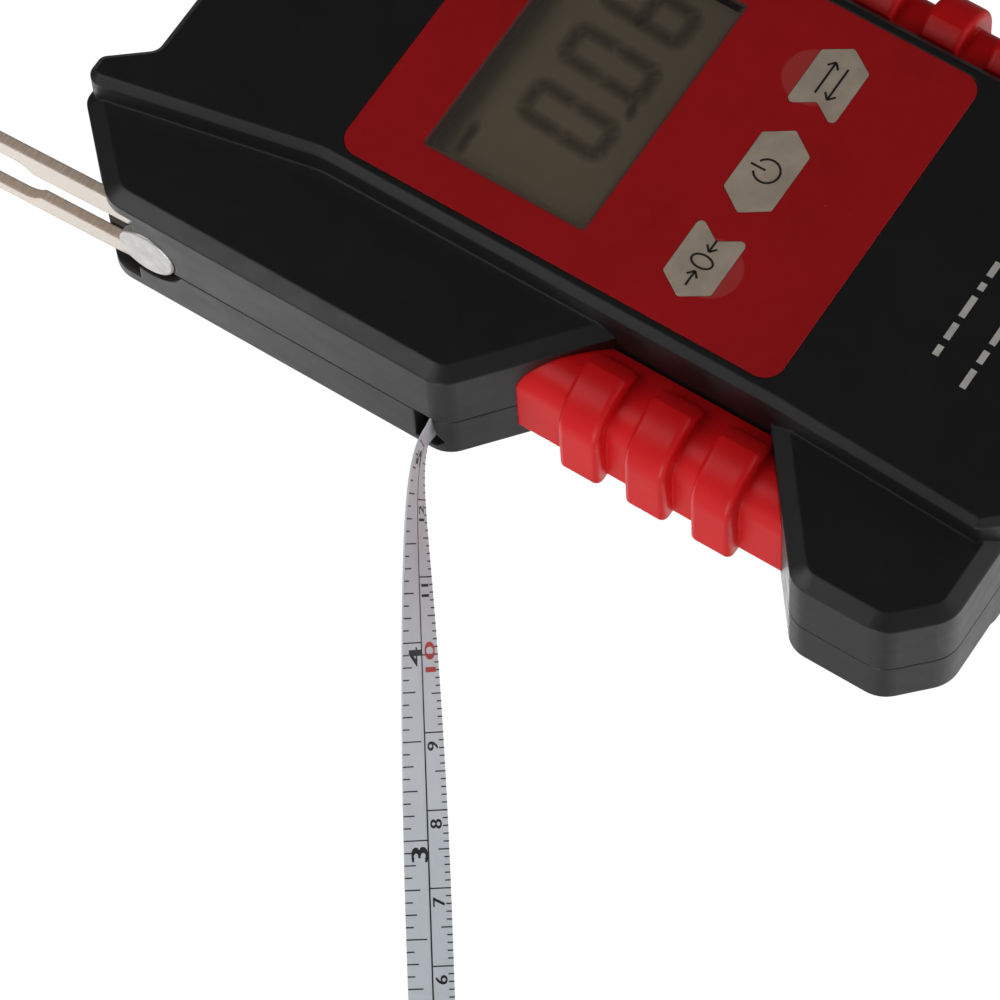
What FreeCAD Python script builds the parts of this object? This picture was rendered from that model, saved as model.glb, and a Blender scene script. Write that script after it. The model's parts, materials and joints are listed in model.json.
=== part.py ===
import FreeCAD, Part
import math
import os

os.makedirs("parts", exist_ok=True)
V = FreeCAD.Vector

# Digital hanging fish scale with a tape measure. Millimetres. X to the right as the display is read,
# Y from the front face to the back face, Z up towards the handle. The origin is the centre of the flat
# raised back face.

# ---- case ----
HALF_WIDTH = 45.8
FRONT_Y = -26.2
WING_Y = -21.7
PARTING_Y = -10.0
WING_BACK_Y = -1.3
WALL = 2.0
THIN_WALL = 1.4
WING_BEVEL = 2.2
WING_BEVEL_DEPTH = 1.3
PANEL_BEVEL = 1.0
BACK_BEVEL = 0.6
PARTING_GROOVE = 0.18
TOP_Z = 61.65
HORN_Z = 67.4
BOTTOM_Z = -67.0
WAIST_X = 34.0
WAIST_FLOOR_Y = -16.6
DEEP_WAIST_X = 26.0
WING_TIP_Z = 5.0
LOWER_TIP_Z = -47.3
UPPER_SLANT = 0.8475
LOWER_SLANT = 0.791

# ---- control panel ----
PANEL_X = 27.9
OVERLAY_HALF = 25.8
OVERLAY_TOP = 33.8
OVERLAY_BOTTOM = -32.1
OVERLAY_THICK = 0.4
OVERLAY_SEAT = 0.35
WINDOW_HALF = 19.8
WINDOW_TOP = 24.5
WINDOW_BOTTOM = -0.15
WINDOW_LEDGE = 0.6
WINDOW_THICK = 0.9
KEY_PITCH = 15.0
KEY_Z = -15.2
KEY_HALF_HEIGHT = 3.6
KEY_GAP = 0.06

# ---- electronics ----
BOARD_FRONT_Y = -20.2
BOARD_BACK_Y = -18.6
BOARD_HALF = 24.0
BOARD_TOP = 31.8
BOARD_BOTTOM = -26.0
LCD_FRONT_Y = -24.2
LCD_BACK_Y = -22.2
LCD_HALF = 21.5
LCD_TOP = 26.6
LCD_BOTTOM = -2.6

# ---- handle, shaft, load cell and hook ----
SHAFT_Y = -11.8
SHAFT_Z = 51.1
SHAFT_R = 2.75
SHAFT_HOLE_R = 2.8
HEAD_R = 4.3
HEAD_IN = 44.7
HEAD_OUT = 46.0
LEG_OUT = 44.6
LEG_THICK = 1.45
LEG_FRONT = 7.35
LEG_BACK = 6.15
LEG_END_R = 5.9
LEG_SLOT_R = 2.9
LEG_WIDE_R = 4.35
LEG_SLOT_RUN = 18.5
HANDLE_REACH = 76.0
HANDLE_CORNER_R = 15.0
HANDLE_LEAN = 4.3
CELL_HALF_X = 11.0
CELL_HALF_Y = 6.0
CELL_TOP = 40.0
CELL_BOTTOM = 0.0
STUD_R = 2.5
STEM_R = 3.0
STEM_HOLE_R = 3.08
HOOK_R = 13.0
HOOK_TURN_R = 9.0
HOOK_START_Z = -77.0

# ---- batteries ----
AAA_R = 5.25
AAA_LENGTH = 44.5
AAA_X = 15.0
AAA_Y = -7.4
BAY_TOP = -15.5
BAY_BOTTOM = -61.5
BAY_WALL = 1.2
COVER_HALF = 22.8
COVER_TOP = -14.8
COVER_BOTTOM = -62.4
COVER_THICK = 1.5
COVER_GAP = 0.2

# ---- finger grips ----
RIB_WIDTH = 6.1
RIB_CENTRES = (-12.05, -22.0, -31.9)
RIB_END = 30.9

# ---- tape measure ----
REEL_X = -28.5
REEL_Z = 20.85
COIL_IN = 8.0
COIL_OUT = 12.5
FLANGE_R = 13.5
TAPE_WIDTH = 6.0
TAPE_THICK = 0.3
TAPE_FRONT_Y = -10.0
TAPE_BACK_Y = -4.05
TAPE_MID_Y = -7.02
TAPE_OUT = 133.0
TAPE_EXIT_Z = 7.12
TAPE_BEND = 4.0
TAPE_EASE = 6.25
TWIST_SLOW = 80.6
TWIST_QUICK = 17.6
TWIST_POWER = 1.2
TAPE_TWIST_RUN = 72.0
TAPE_START = V(-1, 0, 0)
TAPE_END = V(-0.737, 0.453, -0.502)
TAPE_FACE = V(0.546, 0.038, -0.837)


def block(x0, x1, y0, y1, z0, z1):
    """A box between two X, two Y and two Z values."""
    return Part.makeBox(x1 - x0, y1 - y0, z1 - z0, V(x0, y0, z0))


def rod(radius, start, end):
    """A round bar from one point to another."""
    run = end - start
    return Part.makeCylinder(radius, run.Length, start, run)


def mirrored(shape):
    """The same shape on the other side of the middle plane."""
    return shape.mirror(V(0, 0, 0), V(1, 0, 0))


def both_sides(shape):
    return [shape, mirrored(shape)]


def fused(shapes):
    """One clean solid from touching solids."""
    whole = shapes[0].multiFuse(shapes[1:])
    return whole.removeSplitter()


def save(node, shape):
    """Writes one node."""
    shape.exportStep("parts/" + node + ".step")


def full_loop(half):
    """Closes a right-hand half outline, given from top to bottom, with its mirror image."""
    left = [(-x, z, r) for x, z, r in reversed(half) if x > 0]
    return [corner for corner in half if corner[0] > 0] + left


def inset_corners(corners, inset):
    """Moves every side of a closed outline inwards, and adjusts the corner radii to match."""
    count = len(corners)
    area = 0.0
    for i in range(count):
        x0, z0, _ = corners[i]
        x1, z1, _ = corners[(i + 1) % count]
        area += x0 * z1 - x1 * z0
    side = 1.0 if area > 0 else -1.0
    moved = []
    for i in range(count):
        xa, za, _ = corners[i - 1]
        xb, zb, radius = corners[i]
        xc, zc, _ = corners[(i + 1) % count]
        first = V(xb - xa, 0, zb - za).normalize()
        second = V(xc - xb, 0, zc - zb).normalize()
        turn = side * (first.x * second.z - first.z * second.x)
        inward_first = V(-first.z * side, 0, first.x * side)
        inward_second = V(-second.z * side, 0, second.x * side)
        bisector = inward_first + inward_second
        step = inset / (1.0 + inward_first.dot(inward_second))
        new_radius = radius
        if radius > 0:
            new_radius = max(radius - inset if turn > 0 else radius + inset, 0.05)
        moved.append((xb + bisector.x * step, zb + bisector.z * step, new_radius))
    return moved


def outline_wire(corners, y, inset=0.0):
    """A closed wire in a plane of constant Y, with an arc at each corner that has a radius."""
    corners = inset_corners(corners, inset)
    count = len(corners)
    starts = []
    ends = []
    arcs = []
    for i in range(count):
        xa, za, _ = corners[i - 1]
        xb, zb, radius = corners[i]
        xc, zc, _ = corners[(i + 1) % count]
        corner = V(xb, y, zb)
        if radius <= 0:
            starts.append(corner)
            ends.append(corner)
            arcs.append(None)
            continue
        back = V(xa - xb, 0, za - zb).normalize()
        ahead = V(xc - xb, 0, zc - zb).normalize()
        half_angle = back.getAngle(ahead) / 2
        reach = radius / math.tan(half_angle)
        middle = (back + ahead).normalize() * (radius / math.sin(half_angle) - radius)
        start = corner + back * reach
        end = corner + ahead * reach
        starts.append(start)
        ends.append(end)
        arcs.append(Part.Arc(start, corner + middle, end).toShape())
    edges = []
    for i in range(count):
        if arcs[i]:
            edges.append(arcs[i])
        edges.append(Part.makeLine(ends[i], starts[(i + 1) % count]))
    return Part.Wire(edges)


def plate(corners, y0, y1, inset=0.0):
    """A flat plate of the outline between two Y values."""
    return Part.Face(outline_wire(corners, y0, inset)).extrude(V(0, y1 - y0, 0))


def bevel(corners, y0, inset0, y1, inset1):
    """A tapered plate whose outline moves from one inset to another."""
    wires = [outline_wire(corners, y0, inset0), outline_wire(corners, y1, inset1)]
    return Part.makeLoft(wires, True, True)


def rectangle(half_x, top, bottom, radius):
    return full_loop([(half_x, top, radius), (half_x, bottom, radius)])


def case_outline(waist_x):
    """The body seen from the front: horns, cut corners, wing tips, waist and lower wings."""
    upper_waist_z = WING_TIP_Z - (HALF_WIDTH - waist_x) * UPPER_SLANT
    lower_waist_z = LOWER_TIP_Z + (HALF_WIDTH - waist_x) * LOWER_SLANT
    return full_loop(
        [
            (25.8, TOP_Z, 2.0),
            (30.4, HORN_Z, 1.6),
            (34.8, HORN_Z, 2.6),
            (HALF_WIDTH, HORN_Z - (HALF_WIDTH - 34.8), 4.6),
            (HALF_WIDTH, WING_TIP_Z, 4.6),
            (waist_x, upper_waist_z, 0),
            (waist_x, lower_waist_z, 0),
            (HALF_WIDTH, LOWER_TIP_Z, 4.2),
            (HALF_WIDTH, -60.5, 5.0),
            (39.3, BOTTOM_Z, 5.0),
        ]
    )


def panel_outline():
    """The raised middle of the front face, wider at the top."""
    return full_loop(
        [
            (25.8, TOP_Z, 2.0),
            (30.4, HORN_Z, 1.3),
            (34.6, HORN_Z, 1.8),
            (PANEL_X, 34.9, 6.0),
            (PANEL_X, -33.0, 12.0),
            (PANEL_X + 1.25, -64.0, 1.5),
            (26.4, BOTTOM_Z, 1.5),
        ]
    )


def back_panel_outline():
    """The raised middle of the back face, which runs down to the bottom end."""
    return full_loop([(30.6, 58.0, 5.0), (30.6, BOTTOM_Z + 0.1, 3.0)])


def key_outline(kind):
    """A key seen from the front, about its own centre: a hexagon, or an arrow with a notched tail."""
    h = KEY_HALF_HEIGHT
    if kind == "power":
        right = [(4.65, h, 0.5), (7.07, 0, 0.5), (4.65, -h, 0.5)]
        return right + [(-x, -z, r) for x, z, r in right]
    arrow = [(6.4, 0, 0.5), (4.1, -h, 0.5), (-5.2, -h, 0.7), (-2.9, 0, 0.5), (-5.2, h, 0.7), (4.1, h, 0.5)]
    if kind == "unit":
        return arrow
    return [(-x, z, r) for x, z, r in reversed(arrow)]


KEYS = {"tare": -KEY_PITCH, "power": 0.0, "unit": KEY_PITCH}


def placed_key(kind):
    return [(x + KEYS[kind], z + KEY_Z, r) for x, z, r in key_outline(kind)]


# Case screws and board screws, as X and Z for the right side
CASE_SCREWS = [(33.6, 59.2), (34.2, 1.5), (38.5, -55.0)]
BOARD_SCREWS = [(21.4, 29.2), (21.4, -23.4)]
REEL_POSTS = [(-33.5, 36.5), (-23.5, 5.2)]
CASE_BOSS_R = 3.2
SCREW_R = 1.2
SCREW_HEAD_R = 2.6
SCREW_SEAT_Y = -6.5


def side_points(points):
    """Right-hand places and their mirror images."""
    return [(side * x, z) for x, z in points for side in (1, -1)]


def handle_room():
    """The pockets and notches in both side walls in which the handle's legs slide and rock."""
    pocket = block(43.0, 44.85, -20.3, -3.7, SHAFT_Z - 20.5, 62)
    notch = block(43.0, 50, -18.7, -3.7, 52.8, 70)
    return both_sides(pocket.fuse(notch))


def tape_mouth():
    """The slot by which the tape leaves the left side, hollowed at its lower back corner for the twist."""
    front_y = PARTING_Y - 0.15
    floor = [(front_y, 6.7), (-7.6, 6.6), (-6.2, 6.3), (-4.5, 5.2), (-3.0, 6.4)]
    outline = [(front_y, 9.6)] + floor + [(-3.0, 9.6)]
    points = [V(-50, y, z) for y, z in outline]
    return Part.Face(Part.makePolygon(points + points[:1])).extrude(V(7, 0, 0))


def stem_hole():
    return rod(5.0, V(0, SHAFT_Y, -70), V(0, SHAFT_Y, -64))


def shaft_saddle(y0, y1):
    """A rib on each side that carries half of the cross shaft."""
    rib = block(36, 38, y0, y1, 46.5, 55.7)
    return both_sides(rib.cut(rod(SHAFT_HOLE_R, V(30, SHAFT_Y, SHAFT_Z), V(40, SHAFT_Y, SHAFT_Z))))


def front_shell():
    """The front half of the case."""
    waisted = case_outline(WAIST_X)
    deep = case_outline(DEEP_WAIST_X)
    panel = panel_outline()
    side_top = WING_Y + WING_BEVEL_DEPTH
    outer = [
        bevel(waisted, PARTING_Y, PARTING_GROOVE, PARTING_Y - PARTING_GROOVE, 0),
        plate(waisted, PARTING_Y - PARTING_GROOVE, WAIST_FLOOR_Y),
        plate(deep, WAIST_FLOOR_Y, side_top),
        bevel(deep, side_top, 0, WING_Y, WING_BEVEL),
        plate(panel, PARTING_Y - 2, FRONT_Y + PANEL_BEVEL),
        bevel(panel, FRONT_Y + PANEL_BEVEL, 0, FRONT_Y, PANEL_BEVEL),
    ]
    body = fused(outer)
    hollow = [
        plate(waisted, PARTING_Y + 1, WAIST_FLOOR_Y + 1.8, WALL),
        plate(deep, WAIST_FLOOR_Y + 1.8, WING_Y + WALL, WALL),
        plate(panel, PARTING_Y + 1, FRONT_Y + WALL, WALL),
    ]
    body = body.cut(fused(hollow))
    bosses = []
    for x, z in side_points(CASE_SCREWS):
        bosses.append(rod(CASE_BOSS_R, V(x, PARTING_Y, z), V(x, WING_Y + 1, z)))
    for x, z in side_points(BOARD_SCREWS):
        bosses.append(rod(2.3, V(x, BOARD_FRONT_Y, z), V(x, FRONT_Y + 1, z)))
    body = body.multiFuse(bosses + shaft_saddle(-20.5, SHAFT_Y))
    seat = rectangle(OVERLAY_HALF, OVERLAY_TOP, OVERLAY_BOTTOM, 2.8)
    window = rectangle(WINDOW_HALF, WINDOW_TOP, WINDOW_BOTTOM, 0.6)
    cuts = [
        plate(seat, FRONT_Y - 1, FRONT_Y + OVERLAY_SEAT, -0.05),
        plate(window, FRONT_Y - 1, FRONT_Y + WINDOW_THICK),
        plate(window, FRONT_Y - 1, FRONT_Y + 3, WINDOW_LEDGE),
        rod(HEAD_R + 0.25, V(44.3, SHAFT_Y, SHAFT_Z), V(48, SHAFT_Y, SHAFT_Z)),
        rod(HEAD_R + 0.25, V(-44.3, SHAFT_Y, SHAFT_Z), V(-48, SHAFT_Y, SHAFT_Z)),
        tape_mouth(),
        stem_hole(),
    ]
    for kind in KEYS:
        cuts.append(plate(placed_key(kind), FRONT_Y - 1, FRONT_Y + 3, -0.3))
    for x, z in side_points(CASE_SCREWS):
        cuts.append(rod(SCREW_R, V(x, PARTING_Y + 1, z), V(x, -18.2, z)))
    for x, z in side_points(BOARD_SCREWS):
        cuts.append(rod(1.0, V(x, BOARD_FRONT_Y + 1, z), V(x, -24.4, z)))
    for tool in cuts + handle_room():
        body = body.cut(tool)
    return body


def battery_bays():
    """The walls of the two battery bays and the room inside them, on the right side."""
    half = AAA_R + 0.25
    low = BAY_BOTTOM - BAY_WALL
    high = BAY_TOP + BAY_WALL
    wall = block(AAA_X - half - BAY_WALL, AAA_X + half + BAY_WALL, -14.1, -1.6, low, high)
    room = block(AAA_X - half, AAA_X + half, -12.9, 1, BAY_BOTTOM, BAY_TOP)
    return wall, room


def rear_shell():
    """The rear half of the case, with the battery bays and the seats for the tape reel."""
    waisted = case_outline(WAIST_X)
    back = back_panel_outline()
    edge_y = WING_BACK_Y - BACK_BEVEL
    outer = [
        bevel(waisted, PARTING_Y, PARTING_GROOVE, PARTING_Y + PARTING_GROOVE, 0),
        plate(waisted, PARTING_Y + PARTING_GROOVE, edge_y),
        bevel(waisted, edge_y, 0, WING_BACK_Y, BACK_BEVEL),
        plate(back, edge_y, -0.5),
        bevel(back, -0.5, 0, 0, 0.35),
    ]
    body = fused(outer)
    hollow = fused([
        plate(waisted, PARTING_Y - 1, WING_BACK_Y - THIN_WALL, WALL),
        plate(back, WING_BACK_Y - THIN_WALL, -1.9, 3.6),
    ])
    body = body.cut(hollow)
    wall, room = battery_bays()
    cover = rectangle(COVER_HALF, COVER_TOP, COVER_BOTTOM, 2.0)
    middle = block(-9, 9, -3.1, -1.0, BAY_BOTTOM - BAY_WALL, BAY_TOP + BAY_WALL)
    rim = plate(cover, -3.1, -1.0, -1.4)
    added = both_sides(wall) + [middle, rim] + shaft_saddle(SHAFT_Y, -2.2)
    for x, z in side_points(CASE_SCREWS):
        added.append(rod(CASE_BOSS_R, V(x, PARTING_Y, z), V(x, WING_BACK_Y - 1, z)))
    for x, z in REEL_POSTS:
        added.append(rod(2.2, V(x, -11.0, z), V(x, -1.6, z)))
    body = body.multiFuse(added)
    cuts = both_sides(room) + [
        plate(cover, -COVER_THICK, 1, -COVER_GAP),
        tape_mouth(),
        stem_hole(),
        rod(5.6, V(44.3, SHAFT_Y, SHAFT_Z), V(48, SHAFT_Y, SHAFT_Z)),
        rod(5.6, V(-44.3, SHAFT_Y, SHAFT_Z), V(-48, SHAFT_Y, SHAFT_Z)),
    ]
    for side in (1, -1):
        cuts.append(block(side * AAA_X - 1.2, side * AAA_X + 1.2, -11, -6, BAY_TOP - 1, BAY_TOP + 3))
    for x, z in side_points(CASE_SCREWS):
        cuts.append(rod(SCREW_R + 0.15, V(x, PARTING_Y - 1, z), V(x, 1, z)))
        cuts.append(rod(SCREW_HEAD_R + 0.3, V(x, SCREW_SEAT_Y, z), V(x, 1, z)))
    for x, z in REEL_POSTS:
        cuts.append(rod(0.9, V(x, -12, z), V(x, -5, z)))
    for tool in cuts + handle_room():
        body = body.cut(tool)
    return body


def grip_profile(outer_x, centre, centre_radius, crest_end, foot, back_y):
    """The section of a grip seen from above: flat side, large round shoulder, front that dips inwards."""
    side = V(outer_x, centre.y, 0)
    crest = V(centre.x, centre.y - centre_radius, 0)
    bow = centre_radius * math.sqrt(0.5)
    shoulder = Part.Arc(side, centre + V(bow, -bow, 0), crest)
    mid = (crest + crest_end) * 0.5 + V(0, -0.28, 0)
    dip = Part.Arc(crest, mid, crest_end)
    floor = V(foot.x, WAIST_FLOOR_Y, 0)
    corner = V(WAIST_X, WAIST_FLOOR_Y, 0)
    heel = V(WAIST_X, back_y, 0)
    round_start = V(outer_x - 1.5, back_y, 0)
    round_mid = V(outer_x - 0.44, back_y - 0.44, 0)
    round_end = V(outer_x, back_y - 1.5, 0)
    edges = [
        shoulder.toShape(),
        dip.toShape(),
        Part.makeLine(crest_end, foot),
        Part.makeLine(foot, floor),
        Part.makeLine(floor, corner),
        Part.makeLine(corner, heel),
        Part.makeLine(heel, round_start),
        Part.Arc(round_start, round_mid, round_end).toShape(),
        Part.makeLine(round_end, side),
    ]
    return Part.Wire(edges)


def right_grip():
    """Soft rubber finger grip that fills the waist on the right side, with three ribs."""
    foot = V(PANEL_X + 0.35, -17.9, 0)
    body = Part.Face(grip_profile(38.3, V(33.3, -14.4, 0), 5.0, V(28.3, -17.9, 0), foot, -3.7))
    body.translate(V(0, 0, -50))
    body = body.extrude(V(0, 0, 60))
    for centre_z in RIB_CENTRES:
        profile = grip_profile(40.6, V(33.3, -14.8, 0), 7.3, V(29.4, -19.3, 0), V(foot.x, -19.3, 0), -4.3)
        rib = Part.Face(profile)
        rib.translate(V(0, 0, centre_z - RIB_WIDTH / 2))
        rib = rib.extrude(V(0, 0, RIB_WIDTH))
        rib = rib.makeFillet(0.9, [e for e in rib.Edges if rounded_rib_edge(e)])
        rib = rib.cut(past_rib_end())
        body = body.fuse(rib)
    upper_z = WING_TIP_Z - (HALF_WIDTH - PANEL_X) * UPPER_SLANT
    lower_z = LOWER_TIP_Z + (HALF_WIDTH - PANEL_X) * LOWER_SLANT
    room = [
        V(PANEL_X, 0, upper_z),
        V(HALF_WIDTH, 0, WING_TIP_Z),
        V(HALF_WIDTH, 0, LOWER_TIP_Z),
        V(PANEL_X, 0, lower_z),
    ]
    keep = Part.Face(Part.makePolygon(room + room[:1])).extrude(V(0, -30, 0))
    return body.common(keep).removeSplitter()


def rounded_rib_edge(edge):
    """Tells the outer rim of a rib from the edges that are buried in the grip."""
    middle = edge.CenterOfMass
    flat = abs(edge.BoundBox.ZLength) < 0.01
    return flat and (middle.x > 37 or middle.y < -18.2) and middle.x > 30


def past_rib_end():
    """What is taken off the inner end of every rib, so that it stops short of the raised panel."""
    corners = [V(27, -24, -50), V(RIB_END + 0.5, -24, -50), V(RIB_END - 0.7, -17.2, -50), V(27, -17.2, -50)]
    return Part.Face(Part.makePolygon(corners + corners[:1])).extrude(V(0, 0, 60))


def control_overlay():
    """The printed sheet on the front, with openings for the window and the three keys."""
    sheet = rectangle(OVERLAY_HALF, OVERLAY_TOP, OVERLAY_BOTTOM, 2.8)
    face_y = FRONT_Y + OVERLAY_SEAT - OVERLAY_THICK
    body = plate(sheet, face_y, FRONT_Y + OVERLAY_SEAT)
    window = rectangle(WINDOW_HALF, WINDOW_TOP, WINDOW_BOTTOM, 0.6)
    body = body.cut(plate(window, FRONT_Y - 1, FRONT_Y + 1))
    for kind in KEYS:
        body = body.cut(plate(placed_key(kind), FRONT_Y - 1, FRONT_Y + 1, -KEY_GAP))
    return body


def display_window():
    """The clear window over the display, seated on a ledge in the front shell."""
    window = rectangle(WINDOW_HALF, WINDOW_TOP, WINDOW_BOTTOM, 0.6)
    return plate(window, FRONT_Y + 0.02, FRONT_Y + WINDOW_THICK, 0.03)


def key(kind):
    """A key cap that shows through the overlay, on a flange that keeps it in the shell."""
    corners = placed_key(kind)
    cap = plate(corners, FRONT_Y - 0.06, -24.1)
    flange = plate(corners, -24.15, -23.65, -0.9)
    return cap.fuse(flange).removeSplitter()


def lcd_frame():
    """The frame that holds the display glass against the window."""
    glass = rectangle(LCD_HALF, LCD_TOP, LCD_BOTTOM, 0.4)
    outer = plate(glass, LCD_FRONT_Y, BOARD_FRONT_Y, -1.2)
    inner = plate(glass, LCD_FRONT_Y - 1, LCD_BACK_Y, -0.02)
    back = plate(glass, LCD_BACK_Y - 1, BOARD_FRONT_Y + 1, 1.0)
    frame = outer.cut(inner).cut(back)
    for x, z in side_points(BOARD_SCREWS):
        frame = frame.cut(rod(2.4, V(x, -30, z), V(x, -15, z)))
    return frame


def circuit_board():
    sheet = rectangle(BOARD_HALF, BOARD_TOP, BOARD_BOTTOM, 1.0)
    board = plate(sheet, BOARD_FRONT_Y, BOARD_BACK_Y)
    for x, z in side_points(BOARD_SCREWS):
        board = board.cut(rod(1.15, V(x, -25, z), V(x, -15, z)))
    return board


def tact_switches():
    """Three push switches on the front of the board, one behind each key."""
    switches = []
    for x in KEYS.values():
        body = block(x - 3, x + 3, -22.0, BOARD_FRONT_Y, KEY_Z - 3, KEY_Z + 3)
        button = rod(1.7, V(x, -22.0, KEY_Z), V(x, -23.0, KEY_Z))
        switches.append(body.fuse(button))
    return Part.makeCompound(switches)


def board_components():
    """Small parts on the back of the board, clear of the load cell."""
    left = [(-19, 24, 1.6, 0.8), (-19, 18, 1.6, 0.8), (-18, -14, 1.0, 0.6)]
    places = left + [(19, 20, 1.1, 2.2), (19, 10, 1.5, 1.5)]
    parts = []
    top_y = BOARD_BACK_Y + 1.1
    for x, z, half_x, half_z in places:
        parts.append(block(x - half_x, x + half_x, BOARD_BACK_Y, top_y, z - half_z, z + half_z))
    crystal = block(16.0, 21.0, BOARD_BACK_Y, BOARD_BACK_Y + 2.4, -1.0, 1.0)
    socket = block(-22, -15, BOARD_BACK_Y, BOARD_BACK_Y + 3.2, 2.0, 6.0)
    return Part.makeCompound(parts + [crystal, socket])


def controller_chip():
    """The drop of resin over the measuring chip."""
    dome = Part.makeSphere(9.0, V(0, BOARD_BACK_Y - 8.2, -12))
    return dome.common(block(-8, 8, BOARD_BACK_Y, BOARD_BACK_Y + 3, -20, -4))


def cross_recess(x, y, z, size, depth, toward):
    """The two crossed slots of a screw head, cut from its face."""
    y0 = min(y, y - toward * depth)
    y1 = max(y, y - toward * depth)
    wide = block(x - size, x + size, y0, y1, z - size / 4, z + size / 4)
    tall = block(x - size / 4, x + size / 4, y0, y1, z - size, z + size)
    return wide.fuse(tall)


def screw(x, z, seat_y, tip_y, radius, head_r, head_thick):
    """A pan-head screw driven from the back towards the front."""
    face_y = seat_y + head_thick
    shank = rod(radius, V(x, tip_y, z), V(x, seat_y, z))
    head = rod(head_r, V(x, seat_y, z), V(x, face_y, z))
    rim = [e for e in head.Edges if abs(e.CenterOfMass.y - face_y) < 0.01]
    head = head.makeFillet(head_thick * 0.45, rim)
    return shank.fuse(head).cut(cross_recess(x, face_y, z, head_r * 0.6, head_thick * 0.6, 1))


def case_screws():
    screws = []
    for x, z in side_points(CASE_SCREWS):
        screws.append(screw(x, z, SCREW_SEAT_Y, -17.6, SCREW_R, SCREW_HEAD_R, 1.8))
    return Part.makeCompound(screws)


def board_screws():
    screws = [screw(x, z, BOARD_BACK_Y, -24.0, 1.0, 1.9, 1.3) for x, z in side_points(BOARD_SCREWS)]
    return Part.makeCompound(screws)


def load_cell():
    """An S-shaped load cell: two long slots and a pair of joined holes leave thin bending beams."""
    y0 = SHAFT_Y - CELL_HALF_Y
    y1 = SHAFT_Y + CELL_HALF_Y
    body = block(-CELL_HALF_X, CELL_HALF_X, y0, y1, CELL_BOTTOM, CELL_TOP)
    upper = block(-7, CELL_HALF_X + 1, y0 - 1, y1 + 1, 26.6, 28.2)
    lower = block(-CELL_HALF_X - 1, 7, y0 - 1, y1 + 1, 11.8, 13.4)
    cuts = [upper, lower, block(-3.4, 3.4, y0 - 1, y1 + 1, 19.2, 20.8)]
    for x in (-3.4, 3.4):
        cuts.append(rod(3.1, V(x, y0 - 1, 20), V(x, y1 + 1, 20)))
    cuts.append(rod(STUD_R, V(0, SHAFT_Y, CELL_TOP - 10.5), V(0, SHAFT_Y, CELL_TOP + 1)))
    cuts.append(rod(STUD_R, V(0, SHAFT_Y, CELL_BOTTOM - 1), V(0, SHAFT_Y, CELL_BOTTOM + 10.5)))
    for tool in cuts:
        body = body.cut(tool)
    return body


def strain_gauges():
    """Coated gauges on the outer faces of the cell's thin beams."""
    y0 = SHAFT_Y - 3
    y1 = SHAFT_Y + 3
    right = block(CELL_HALF_X, CELL_HALF_X + 0.5, y0, y1, 16.5, 23.5)
    return Part.makeCompound(both_sides(right))


def shaft_eye():
    """The eye that hangs the load cell from the cross shaft."""
    body = block(-7, 7, SHAFT_Y - 5.5, SHAFT_Y + 5.5, CELL_TOP, SHAFT_Z + 1)
    crown = rod(5.5, V(-7, SHAFT_Y, SHAFT_Z + 1), V(7, SHAFT_Y, SHAFT_Z + 1))
    stud = rod(STUD_R, V(0, SHAFT_Y, CELL_TOP - 10), V(0, SHAFT_Y, CELL_TOP))
    hole = rod(SHAFT_HOLE_R, V(-8, SHAFT_Y, SHAFT_Z), V(8, SHAFT_Y, SHAFT_Z))
    return fused([body, crown, stud]).cut(hole)


def shaft_head(side):
    """A domed shaft head."""
    head = rod(HEAD_R, V(side * HEAD_IN, SHAFT_Y, SHAFT_Z), V(side * HEAD_OUT, SHAFT_Y, SHAFT_Z))
    rim = [e for e in head.Edges if abs(e.CenterOfMass.x) > HEAD_OUT - 0.05]
    return head.makeFillet(0.35, rim)


def handle_shaft():
    """The cross shaft, with its head on the left side."""
    bar = rod(SHAFT_R, V(-HEAD_IN, SHAFT_Y, SHAFT_Z), V(HEAD_IN, SHAFT_Y, SHAFT_Z))
    tip = rod(1.6, V(HEAD_IN, SHAFT_Y, SHAFT_Z), V(HEAD_IN + 0.8, SHAFT_Y, SHAFT_Z))
    return fused([shaft_head(-1), bar, tip])


def shaft_end_cap():
    """The head pressed on the right end of the shaft."""
    return shaft_head(1).cut(rod(1.6, V(HEAD_IN - 1, SHAFT_Y, SHAFT_Z), V(HEAD_IN + 0.8, SHAFT_Y, SHAFT_Z)))


def slot_tool(radius, low, high):
    """A round-ended slot through one leg, between two heights."""
    x0 = LEG_OUT - LEG_THICK - 1
    x1 = LEG_OUT + 1
    middle = block(x0, x1, SHAFT_Y - radius, SHAFT_Y + radius, low, high)
    ends = [rod(radius, V(x0, SHAFT_Y, z), V(x1, SHAFT_Y, z)) for z in (low, high)]
    return fused([middle] + ends)


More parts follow.
